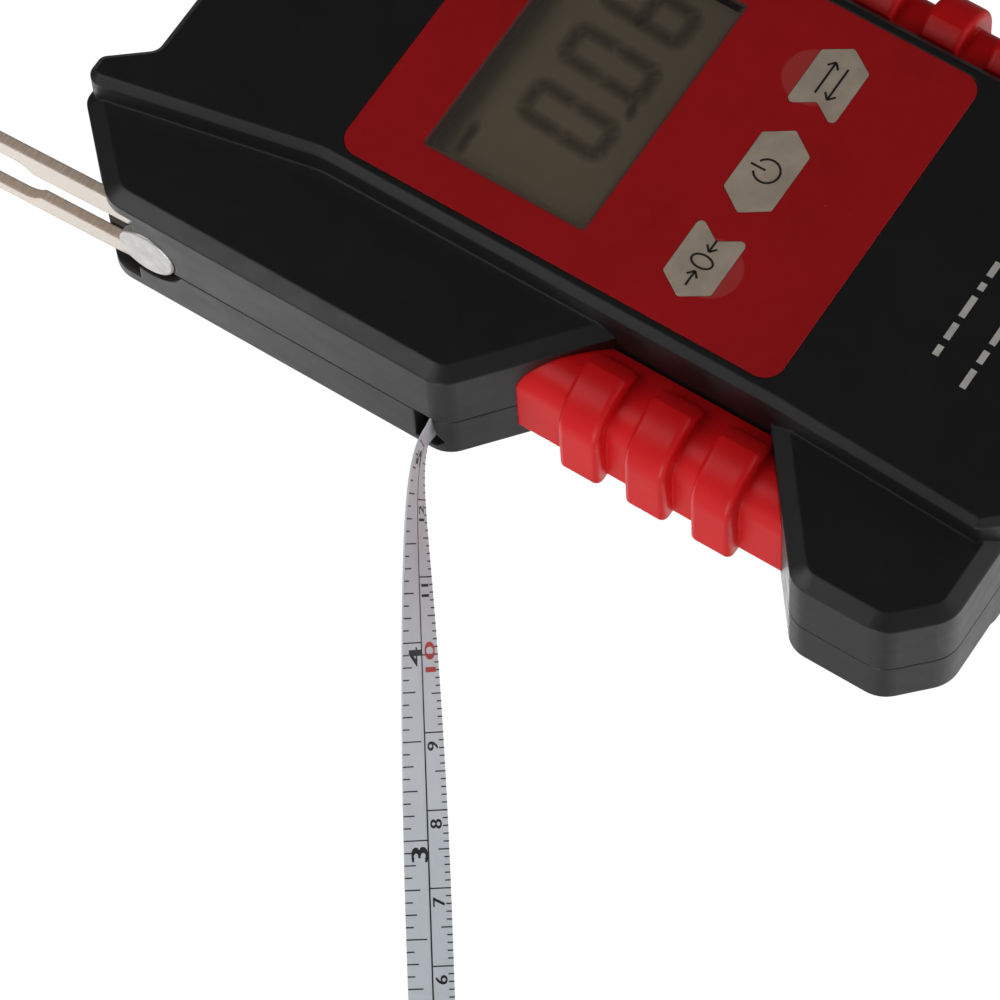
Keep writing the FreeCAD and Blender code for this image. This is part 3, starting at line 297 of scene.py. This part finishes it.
def window_clear():
    """Clear sheet: see-through, with a thin reflection, a soft printed fade towards its border, and painted
    shadow that darkens it below its top edge.
    """
    made, tree = new_material("window_clear")
    low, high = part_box("display_window")
    split = node(tree, "SeparateXYZ", Vector=places(tree))
    from_side = math_node(tree, "SUBTRACT", high.x, math_node(tree, "ABSOLUTE", split.outputs["X"]))
    from_top = math_node(tree, "SUBTRACT", high.z, split.outputs["Z"])
    from_bottom = math_node(tree, "SUBTRACT", split.outputs["Z"], low.z)
    from_border = math_node(tree, "MINIMUM", from_side, math_node(tree, "MINIMUM", from_top, from_bottom))
    rim = spread(tree, from_border, 0.95, 0.0, 0.0, 0.9 * MM)
    # painted shadow: a dark tint over the sheet towards its top edge, standing for the shade of the opening's
    # top wall
    painted_top_shadow = spread(tree, from_top, 0.45, 0.0, 0.8 * MM, 3.2 * MM)
    # the tint is dark grey where the painted shadow shows and dark red at the printed border
    fade = node(tree, "BsdfDiffuse", Color=mix_colour(tree, rim, (0.13, 0.115, 0.10), (0.20, 0.075, 0.062)))
    clear = node(tree, "BsdfTransparent", Color=(0.93, 0.93, 0.91, 1.0))
    haze = noise_of(tree, 1500.0, 3.0)
    shine = node(tree, "BsdfGlossy", Color=(1, 1, 1, 1), Roughness=spread(tree, haze, 0.05, 0.12))
    share = node(tree, "Fresnel", IOR=1.45).outputs[0]
    both = node(tree, "MixShader", Fac=math_node(tree, "MULTIPLY", share, 0.9))
    tree.links.new(clear.outputs[0], both.inputs[1])
    tree.links.new(shine.outputs[0], both.inputs[2])
    # lays the printed border fade and the painted shadow over the clear sheet
    printed = node(tree, "MixShader", Fac=math_node(tree, "MAXIMUM", rim, painted_top_shadow))
    tree.links.new(both.outputs[0], printed.inputs[1])
    tree.links.new(fade.outputs[0], printed.inputs[2])
    out = node(tree, "OutputMaterial")
    tree.links.new(printed.outputs[0], out.inputs[0])
    return made


def lcd_face():
    """The display's polariser: olive grey with a fine cell pattern."""
    made, tree = new_material("lcd_face")
    cloud = noise_of(tree, 70.0, 2.0)
    fine = noise_of(tree, 6000.0, 2.0)
    base = mix_colour(tree, spread(tree, cloud, 0.0, 1.0), LCD_OLIVE, tuple(c * 0.92 for c in LCD_OLIVE))
    normal = bump(tree, fine, 0.003 * MM, 0.5)
    finish(tree, Base_Color=base, Roughness=spread(tree, fine, 0.4, 0.55), Normal=normal,
           Specular_IOR_Level=0.3)
    return made


def soft_ink(name, colour, strength=1.0):
    """Ink whose edge fades by the mesh's own ink value."""
    made, tree = new_material(name)
    amount = node(tree, "Attribute", {"attribute_name": "ink"}).outputs["Fac"]
    grain = noise_of(tree, 2500.0, 2.0)
    share = math_node(tree, "MULTIPLY", amount, spread(tree, grain, strength * 0.94, strength))
    ink = node(tree, "BsdfPrincipled", Base_Color=(*colour, 1.0), Roughness=0.5, Specular_IOR_Level=0.2)
    clear = node(tree, "BsdfTransparent")
    both = node(tree, "MixShader", Fac=share)
    tree.links.new(clear.outputs[0], both.inputs[1])
    tree.links.new(ink.outputs[0], both.inputs[2])
    out = node(tree, "OutputMaterial")
    tree.links.new(both.outputs[0], out.inputs[0])
    return made


def flat_ink(name, colour, rough=0.55):
    """Printed ink with slight unevenness."""
    made, tree = new_material(name)
    grain = noise_of(tree, 3000.0, 3.0)
    worn = noise_of(tree, 500.0, 3.0)
    pale = tuple(min(c * 1.5 + 0.02, 1) for c in colour)
    base = mix_colour(tree, spread(tree, worn, 0.0, 0.5), colour, pale)
    finish(tree, Base_Color=base, Roughness=spread(tree, grain, rough - 0.08, rough + 0.08))
    return made


def tape_cloth():
    """Coated woven tape: a very fine weave under a satin coat."""
    made, tree = new_material("tape_cloth")
    weave = node(tree, "TexWave", {"wave_type": "BANDS", "bands_direction": "DIAGONAL"}, Vector=places(tree),
                 Scale=2600.0, Distortion=1.0, Detail=2.0).outputs["Fac"]
    cloud = noise_of(tree, 160.0, 3.0)
    fine = noise_of(tree, 3600.0, 3.0)
    base = mix_colour(tree, spread(tree, cloud, 0.0, 1.0), TAPE_WHITE, tuple(c * 0.93 for c in TAPE_WHITE))
    rounded = node(tree, "Bevel", {"samples": 4}, Radius=0.05 * MM).outputs[0]
    normal = bump(tree, weave, 0.006 * MM, 0.3, bump(tree, fine, 0.006 * MM, 0.4, rounded))
    finish(tree, Base_Color=base, Roughness=spread(tree, fine, 0.38, 0.5), Normal=normal)
    return made


def board_mask():
    """Green solder mask over copper tracks."""
    made, tree = new_material("board_mask")
    cells = node(tree, "TexBrick", {"offset": 0.37, "squash": 1.0}, Vector=places(tree), Scale=420.0,
                 Mortar_Size=0.03).outputs["Fac"]
    base = mix_colour(tree, cells, (0.012, 0.10, 0.035), (0.03, 0.22, 0.08))
    fine = noise_of(tree, 2600.0, 2.0)
    normal = bump(tree, cells, 0.03 * MM, 0.5)
    finish(tree, Base_Color=base, Roughness=spread(tree, fine, 0.22, 0.34), Normal=normal)
    return made


# ---------- finishes for the frame's own nodes ----------

def dress_frame():
    """Gives every node of the frame its finish, and smooth shading with crisp corners. Returns the tape's."""
    case = moulded("case_plastic", BLACK, rough=0.42, depth=0.010, mottle=0.10, edge=0.45, edge_highlight=1.3)
    rubber = moulded("grip_rubber", RUBBER_RED, rough=0.36, grain=1900.0, depth=0.010, edge=0.3,
                     edge_highlight=1.0, mottle=0.05, specular=0.22, subsurface=0.03)
    natural = moulded("natural_plastic", (0.62, 0.61, 0.56), rough=0.45, edge_highlight=1.05, mottle=0.05,
                      subsurface=0.05)
    dark = moulded("dark_resin", (0.012, 0.012, 0.013), rough=0.25, depth=0.006)
    sleeve = moulded("cell_sleeve", (0.05, 0.09, 0.16), rough=0.25, depth=0.004, mottle=0.05)
    red_lead = moulded("red_lead", (0.55, 0.02, 0.02), rough=0.4, edge_highlight=1.0)
    zinc = metal("zinc_plate", (0.80, 0.79, 0.77), rough=0.34)
    head = metal("shaft_head_zinc", (0.60, 0.59, 0.57), rough=0.42, grain=900.0, depth=0.02, stain=0.05)
    chrome = metal("hook_chrome", (0.82, 0.82, 0.84), rough=0.14, depth=0.002, stain=0.04)
    cell = metal("milled_aluminium", (0.78, 0.79, 0.80), rough=0.32, stretch=(0.2, 1.0, 1.0), grain=2600.0)
    blued = metal("spring_blue", (0.20, 0.22, 0.27), rough=0.28)
    nickel = nickel_strip()
    tape = tape_cloth()
    looks = {
        case: ["front_shell", "rear_shell", "battery_cover"],
        rubber: ["left_grip", "right_grip"],
        overlay_print(): ["control_overlay"],
        window_clear(): ["display_window"],
        lcd_face(): ["lcd_panel"],
        key_face(): ["key_tare", "key_power", "key_unit"],
        natural: ["lcd_frame", "lcd_connector", "strain_gauges", "stem_bush", "tape_reel", "reel_cover",
                  "load_cell_cable"],
        dark: ["tact_switches", "controller_chip", "board_components"],
        board_mask(): ["circuit_board"],
        zinc: ["board_screws", "case_screws", "shaft_eye", "swivel_bracket", "bracket_screw", "hook_nut",
               "hook_washer", "reel_axle", "reel_cover_screws", "battery_contacts"],
        head: ["handle_shaft", "shaft_end_cap"],
        chrome: ["hook"],
        cell: ["load_cell"],
        blued: ["tape_spring"],
        nickel: ["handle_bail", "tape_end_tab"],
        sleeve: ["battery_cells"],
        red_lead: ["battery_leads"],
        tape: ["tape_coil", "tape_blade"],
    }
    for finish_made, names in looks.items():
        for name in names:
            obj = frame["nodes"][name]
            obj.data.materials.clear()
            obj.data.materials.append(finish_made)
            shade(obj)
    return tape


def shade(obj, angle=32.0):
    """Smooth faces, with corners kept where the surface turns by more than the angle."""
    obj.data.shade_smooth()
    obj.data.set_sharp_from_angle(angle=math.radians(angle))


# ---------- pieces ----------

def mesh_piece(name, points, faces, finish_made, body):
    """A new piece that rides on a body."""
    mesh = bpy.data.meshes.new(name)
    mesh.from_pydata(points, [], faces)
    mesh.validate()
    mesh.update()
    obj = bpy.data.objects.new(name, mesh)
    bpy.context.scene.collection.objects.link(obj)
    mesh.materials.append(finish_made)
    if body:
        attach(obj, body)
    return obj


def tape_heading(s):
    """The direction of the tape at a distance from the slot."""
    share = 1 - math.exp(-s / TAPE_BEND)
    return (TAPE_START * (1 - share) + TAPE_END * share).normalized()


def tape_across(s):
    """The tape's width direction, which makes most of a quarter turn."""
    left = 1 - min(s / TAPE_TWIST_RUN, 1.0)
    turn = math.radians(90 - TWIST_SLOW * left ** TWIST_POWER - TWIST_QUICK * math.exp(-s / TAPE_EASE))
    heading = tape_heading(s)
    flat = (TAPE_FACE - heading * TAPE_FACE.dot(heading)).normalized()
    edge = (Vector((0, 1, 0)) - heading * heading.y).normalized()
    mixed = edge * math.cos(turn) + flat * math.sin(turn)
    return (mixed - heading * mixed.dot(heading)).normalized()


def tape_line(step=0.5 * MM):
    """Middle, width direction and face normal of the tape at equal steps from the slot."""
    point = TAPE_SLOT.copy()
    rows = []
    count = round(TAPE_OUT / step)
    for i in range(count + 1):
        s = i * step
        across = tape_across(s)
        normal = across.cross(tape_heading(s)).normalized()
        rows.append((point.copy(), across, normal))
        point = point + tape_heading(s + step / 2) * step
    return rows, step


def tape_map(rows, step):
    """A function from distance along the tape, place across it and height off it, to space."""
    def place(s, v, lift):
        i = min(max(s / step, 0.0), len(rows) - 1.001)
        k = int(i)
        share = i - k
        point = rows[k][0].lerp(rows[k + 1][0], share)
        across = rows[k][1].lerp(rows[k + 1][1], share)
        normal = rows[k][2].lerp(rows[k + 1][2], share)
        return point + across * v + normal * lift
    return place


def tape_band(name, sections, finish_made):
    """A thin closed band through four-cornered cross-sections. It stands for the frame's blade."""
    points = [corner for section in sections for corner in section]
    faces = [(3, 2, 1, 0), tuple(len(points) - 4 + j for j in range(4))]
    for k in range(1, len(sections)):
        base = 4 * k
        for j in range(4):
            n = (j + 1) % 4
            faces.append((base - 4 + j, base - 4 + n, base + n, base + j))
    band = mesh_piece(name, points, faces, finish_made, "case")
    shade(band)
    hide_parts("tape_blade")
    return band


def build_tape(finish_made):
    """The tape in two bands: a fixed run from the reel to the slot, and the drawn-out ribbon."""
    rows, step = tape_line()
    place = tape_map(rows, step)
    half = TAPE_WIDTH / 2
    thick = TAPE_THICK / 2
    corners = ((1, 1), (-1, 1), (-1, -1), (1, -1))
    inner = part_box("tape_coil")
    start_x = (inner[0].x + inner[1].x) / 2
    coil_z = inner[0].z - thick
    slot_x, y, slot_z = TAPE_SLOT
    run = slot_x + 0.6 * MM - start_x

    def inside(x, z, slim):
        return [Vector((x, y + a * half * slim, z + b * thick * slim)) for a, b in corners]

    run_in = [inside(start_x + run * share, coil_z + (slot_z - coil_z) * share, 0.96)
              for share in (0.0, 0.2, 0.5, 0.8, 1.0)]
    tape_band("tape_run_in", run_in, finish_made)
    drawn = [inside(slot_x + 1.0 * MM, slot_z, 0.99)]
    for i in range(2, len(rows)):
        drawn.append([place(i * step, a * half, b * thick) for a, b in corners])
    return tape_band("measuring_tape", drawn, finish_made), place


def glyph_mesh(text, size):
    """A flat triangulated mesh of a number in the built-in face, centred on its own middle."""
    curve = bpy.data.curves.new("glyph", "FONT")
    curve.body = text
    curve.size = size
    curve.align_x = "CENTER"
    curve.align_y = "CENTER"
    curve.resolution_u = 4
    holder = bpy.data.objects.new("glyph", curve)
    bpy.context.scene.collection.objects.link(holder)
    bpy.context.view_layer.update()
    mesh = bpy.data.meshes.new_from_object(holder.evaluated_get(bpy.context.evaluated_depsgraph_get()))
    bpy.data.objects.remove(holder)
    bm = bmesh.new()
    bm.from_mesh(mesh)
    bmesh.ops.triangulate(bm, faces=bm.faces)
    points = [v.co.copy() for v in bm.verts]
    faces = [tuple(v.index for v in f.verts) for f in bm.faces]
    bm.free()
    bpy.data.meshes.remove(mesh)
    middle_x = (min(p.x for p in points) + max(p.x for p in points)) / 2
    middle_y = (min(p.y for p in points) + max(p.y for p in points)) / 2
    return [Vector((p.x - middle_x, p.y - middle_y, 0)) for p in points], faces


def print_tape(place):
    """Ticks, centre line and numbers, laid on the face of the tape that is towards the front."""
    sheets = {"tape_print_black": ([], []), "tape_print_red": ([], [])}
    lift = -TAPE_THICK / 2 - INK_LIFT

    def bar(sheet, s0, s1, v0, v1):
        points, faces = sheets[sheet]
        runs = max(1, round((s1 - s0) / (1.0 * MM)))
        for i in range(runs + 1):
            s = s0 + (s1 - s0) * i / runs
            points.append(place(s, v0, lift))
            points.append(place(s, v1, lift))
            if i:
                n = len(points)
                faces.append((n - 4, n - 3, n - 1, n - 2))

    def number(sheet, text, s, v, size, wide, heavy=0.0):
        points, faces = sheets[sheet]
        shape, triangles = glyph_mesh(text, size)
        offsets = (0.0,) if not heavy else (-heavy, heavy)
        for shift in offsets:
            first = len(points)
            above = lift - (0.004 * MM if shift > 0 else 0)
            for p in shape:
                points.append(place(s - (p.x * wide + shift), v - p.y, above))
            faces.extend(tuple(first + i for i in t) for t in triangles)

    half = TAPE_WIDTH / 2
    centre = 0.035 * TAPE_WIDTH
    black = "tape_print_black"
    bar(black, 2 * MM, TAPE_OUT, centre - 0.1 * MM, centre + 0.1 * MM)
    thin = 0.085 * MM
    for tick in range(0, 129):
        s = TAPE_ZERO - tick * MM
        reach = half - centre if tick % 10 == 0 else (1.45 * MM if tick % 5 == 0 else 0.72 * MM)
        bar(black, s - thin, s + thin, half - reach, half)
    sixteenth = 25.4 * MM / 16
    for tick in range(0, 81):
        s = TAPE_ZERO - tick * sixteenth
        reach = 1.0 * MM
        for share, length in ((2, 1.5), (4, 2.0), (8, 2.7)):
            if tick % share == 0:
                reach = length * MM
        if tick % 16 == 0:
            reach = half + centre
        bar(black, s - thin, s + thin, -half, -half + reach)
    for cm in range(1, 13):
        s = TAPE_ZERO - cm * 10 * MM
        if cm == 10:
            number("tape_print_red", "10", s + 0.3 * MM, centre + 1.4 * MM, 2.5 * MM, 1.95, 0.09 * MM)
        else:
            number(black, str(cm), s + 1.75 * MM, centre + 1.15 * MM, 2.2 * MM, 1.2, 0.05 * MM)
    for inch in range(1, 6):
        s = TAPE_ZERO - inch * 25.4 * MM
        number(black, str(inch), s + 1.8 * MM, -0.95 * MM, 3.1 * MM, 1.5, 0.16 * MM)
    made = []
    for name, (points, faces) in sheets.items():
        ink = flat_ink(name, TAPE_RED if name.endswith("red") else INK)
        made.append(mesh_piece(name, points, faces, ink, "case"))
    return made


def retract_with_tape(pieces):
    """Looks up the tape_pull joint and gives each piece its own copy of its mesh."""
    joint = next(j for j in frame["joints"] if j["name"] == "tape_pull")
    for piece in pieces:
        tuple(joint["axis"])
        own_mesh(piece)


def segment(points, faces, ink, start, end, width, feather, y):
    """One display bar with pointed ends and a soft rim, in the plane of the display."""
    along = (end - start).normalized()
    side = Vector((-along.y, along.x))
    rings = []
    for grow, value in ((-feather * 0.5, 1.0), (feather * 0.6, 0.0)):
        half = width / 2 + grow
        tip = width * 0.5 + grow * 1.2
        a = start + along * (width * 0.5 - grow)
        b = end - along * (width * 0.5 - grow)
        upper = [a + side * half, b + side * half, b + along * tip]
        lower = [b - side * half, a - side * half, a - along * tip]
        rings.append([(p, value) for p in upper + lower])
    first = len(points)
    for ring in rings:
        for p, value in ring:
            points.append((p.x, y, p.y))
            ink.append(value)
    faces.append(tuple(first + i for i in range(6)))
    for i in range(6):
        n = (i + 1) % 6
        faces.append((first + i, first + 6 + i, first + 6 + n, first + n))


def build_reading():
    """The number on the display, made of seven-segment digits that lean a little."""
    width = 4.9 * MM
    height = 11.9 * MM
    stroke = 1.5 * MM
    lean = 0.07
    base_z = 5.2 * MM
    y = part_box("lcd_panel")[0].y - 0.03 * MM
    shapes = {"0": "abcdef", "6": "acdefg"}
    corners = {"tl": (0, 2), "tr": (1, 2), "ml": (0, 1), "mr": (1, 1), "bl": (0, 0), "br": (1, 0)}
    bars = {"a": ("tl", "tr"), "b": ("tr", "mr"), "c": ("mr", "br"), "d": ("bl", "br"), "e": ("ml", "bl"),
            "f": ("tl", "ml"), "g": ("ml", "mr")}
    points = []
    faces = []
    ink = []
    for digit, x in (("0", -8.85), ("0", 1.05), ("6", 10.85)):
        for bar in shapes[digit]:
            ends = []
            for name in bars[bar]:
                u, v = corners[name]
                z = v * height / 2
                ends.append(Vector((x * MM + u * width + z * lean, base_z + z)))
            shrink = (ends[1] - ends[0]).normalized() * 0.3 * MM
            segment(points, faces, ink, ends[0] + shrink, ends[1] - shrink, stroke, 1.2 * MM, y)
    marks = (
        ((-1.9, 4.6), (0.3, 5.2), 0.5),
        ((-17.6, 20.6), (-12.8, 20.8), 0.7),
    )
    for start, end, feather in marks:
        segment(points, faces, ink, Vector(start) * MM, Vector(end) * MM, 1.1 * MM, feather * MM, y)
    lcd_ink = soft_ink("lcd_ink", LCD_INK, 0.62)
    obj = mesh_piece("display_reading", points, faces, lcd_ink, "case")
    values = obj.data.attributes.new("ink", "FLOAT", "POINT")
    values.data.foreach_set("value", ink)
    return obj


def stroke_mesh(points, faces, line, width, y, closed=False):
    """A flat printed stroke that follows a line in the plane of the front face."""
    count = len(line)
    first = len(points)
    for i, p in enumerate(line):
        before = line[(i - 1) % count] if closed or i else line[i]
        after = line[(i + 1) % count] if closed or i < count - 1 else line[i]
        along = (after - before).normalized()
        side = Vector((-along.y, along.x)) * (width / 2)
        for q in (p + side, p - side):
            points.append((q.x, y, q.y))
    for i in range(count if closed else count - 1):
        n = (i + 1) % count
        faces.append((first + 2 * i, first + 2 * i + 1, first + 2 * n + 1, first + 2 * n))


def arc_line(x, z, radius, start, end, steps=28):
    """Points on an arc, in degrees from the right-hand side."""
    turns = [math.radians(start + (end - start) * i / steps) for i in range(steps + 1)]
    return [Vector((x + radius * math.cos(t), z + radius * math.sin(t))) for t in turns]


def build_key_symbols():
    """Plain symbols on the keys: power ring, zero between arrows, and two swapping arrows."""
    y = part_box("key_power")[0].y - 0.015 * MM
    width = 0.32 * MM
    ink = flat_ink("key_ink", (0.015, 0.014, 0.012))
    made = {}

    def arrow(points, faces, x0, x1, z, head):
        way = 1 if x1 > x0 else -1
        stroke_mesh(points, faces, [Vector((x0, z)), Vector((x1, z))], width, y)
        for up in (1, -1):
            tip = Vector((x1 + way * 0.1 * MM, z))
            stroke_mesh(points, faces, [tip, Vector((x1 - way * head, z + up * head))], width, y)

    points = []
    faces = []
    stroke_mesh(points, faces, arc_line(0, KEY_Z, 1.75 * MM, 118, 422), width, y)
    stroke_mesh(points, faces, [Vector((0, KEY_Z + 0.2 * MM)), Vector((0, KEY_Z + 2.4 * MM))], width, y)
    made["power"] = (points, faces)
    points = []
    faces = []
    x = -KEY_PITCH - 0.5 * MM
    ring = [Vector((x + 0.95 * MM * math.cos(t), KEY_Z + 1.5 * MM * math.sin(t)))
            for t in [i * math.tau / 32 for i in range(32)]]
    stroke_mesh(points, faces, ring, width, y, closed=True)
    arrow(points, faces, x - 4.0 * MM, x - 1.7 * MM, KEY_Z, 0.75 * MM)
    arrow(points, faces, x + 3.6 * MM, x + 1.7 * MM, KEY_Z, 0.75 * MM)
    made["tare"] = (points, faces)
    points = []
    faces = []
    x = KEY_PITCH + 0.7 * MM
    arrow(points, faces, x - 2.6 * MM, x + 2.6 * MM, KEY_Z + 0.95 * MM, 0.8 * MM)
    arrow(points, faces, x + 2.6 * MM, x - 2.6 * MM, KEY_Z - 0.95 * MM, 0.8 * MM)
    made["unit"] = (points, faces)
    for name, (points, faces) in made.items():
        mesh_piece(f"{name}_symbol", points, faces, ink, f"{name}_key")


def build_pad_print():
    """Two rows of plain printed dashes below the control panel."""
    y = -26.2 * MM - 0.015 * MM
    rows = (
        (-47.1, -11.4, (1.6, 2.6, 3.4, 1.2, 2.4, 3.2)),
        (-52.4, -13.6, (3.0, 2.0, 3.6, 1.4, 2.8, 4.0)),
    )
    points = []
    faces = []
    for z, start, lengths in rows:
        x = start
        for length in lengths:
            dash = [Vector((x, z)) * MM, Vector((x + length, z)) * MM]
            stroke_mesh(points, faces, dash, 0.9 * MM, y)
            x += length + 1.1
    mesh_piece("panel_dashes", points, faces, flat_ink("panel_ink", PAD_INK), "case")


# ---------- stage ----------

def build_stage():
    """A pale floor, soft light from behind and below, and the camera under the object's left side."""
    scene = bpy.context.scene
    scene.view_settings.view_transform = "Standard"
    floor_z = min(cad_box[0].z, -0.26) - 0.14
    bpy.ops.mesh.primitive_plane_add(size=6.0, location=(0, 0, floor_z))
    floor = bpy.context.object
    floor.name = "floor"
    made, tree = new_material("pale_floor")
    seen = node(tree, "LightPath").outputs["Is Camera Ray"]
    finish(tree, Base_Color=(0.86, 0.86, 0.86, 1.0), Roughness=0.6, Emission_Color=(1.0, 1.0, 1.0, 1.0),
           Emission_Strength=math_node(tree, "MULTIPLY", seen, 0.62))
    floor.data.materials.append(made)

    world = bpy.data.worlds.new("studio")
    scene.world = world
    world.use_nodes = True
    tree = world.node_tree
    tree.nodes.clear()
    where = node(tree, "TexCoord").outputs["Generated"]
    toward = Vector((-0.50, 0.84, -0.20)).normalized()
    facing = node(tree, "VectorMath", {"operation": "DOT_PRODUCT"}, i0=where, i1=toward).outputs["Value"]
    light = spread(tree, facing, 0.05, 0.40, -0.30, 0.35)
    camera_ray = node(tree, "LightPath").outputs["Is Camera Ray"]
    level = node(tree, "Mix", {"data_type": "FLOAT"}, i0=camera_ray, i2=light, i3=1.02).outputs[0]
    background = node(tree, "Background", Color=(1, 1, 1, 1), Strength=level)
    out = node(tree, "OutputWorld")
    tree.links.new(background.outputs[0], out.inputs[0])

    def soft_box(name, place, target, size, power):
        data = bpy.data.lights.new(name, "AREA")
        data.shape = "DISK"
        data.size = size
        data.energy = power
        obj = bpy.data.objects.new(name, data)
        scene.collection.objects.link(obj)
        obj.location = place
        obj.rotation_euler = (Vector(target) - Vector(place)).to_track_quat("-Z", "Y").to_euler()
        obj.visible_camera = False

    soft_box("key_light", (-0.27, -0.34, 0.21), (0, 0, 0.02), 0.34, 0.66)
    soft_box("left_light", (-0.58, 0.16, -0.12), (0, 0, 0), 0.30, 1.0)
    soft_box("low_light", (0.10, -0.05, -0.36), (-0.04, 0, 0), 0.25, 0.45)
    soft_box("back_light", (-0.24, 0.38, 0.38), (-0.04, 0, 0.04), 0.46, 0.6)
    soft_box("floor_light", (0.40, 1.05, floor_z + 0.7), (0.40, 1.1, floor_z), 0.5, 9.0)

    data = bpy.data.cameras.new("camera")
    data.sensor_width = 36.0
    data.lens = 215.7
    data.clip_start = 0.05
    camera = bpy.data.objects.new("camera", data)
    scene.collection.objects.link(camera)
    right = Vector((0.5461, 0.0381, -0.8369))
    ahead = Vector((0.3602, 0.8913, 0.2756)).normalized()
    right = (right - ahead * right.dot(ahead)).normalized()
    up = right.cross(ahead)
    turn = Matrix((right, up, -ahead)).transposed().to_4x4()
    camera.matrix_world = Matrix.Translation((-0.3254, -0.6894, -0.21705)) @ turn
    scene.camera = camera


tape_finish = dress_frame()
ribbon, tape_place = build_tape(tape_finish)
retract_with_tape([ribbon] + print_tape(tape_place))
build_reading()
build_key_symbols()
build_pad_print()
build_stage()
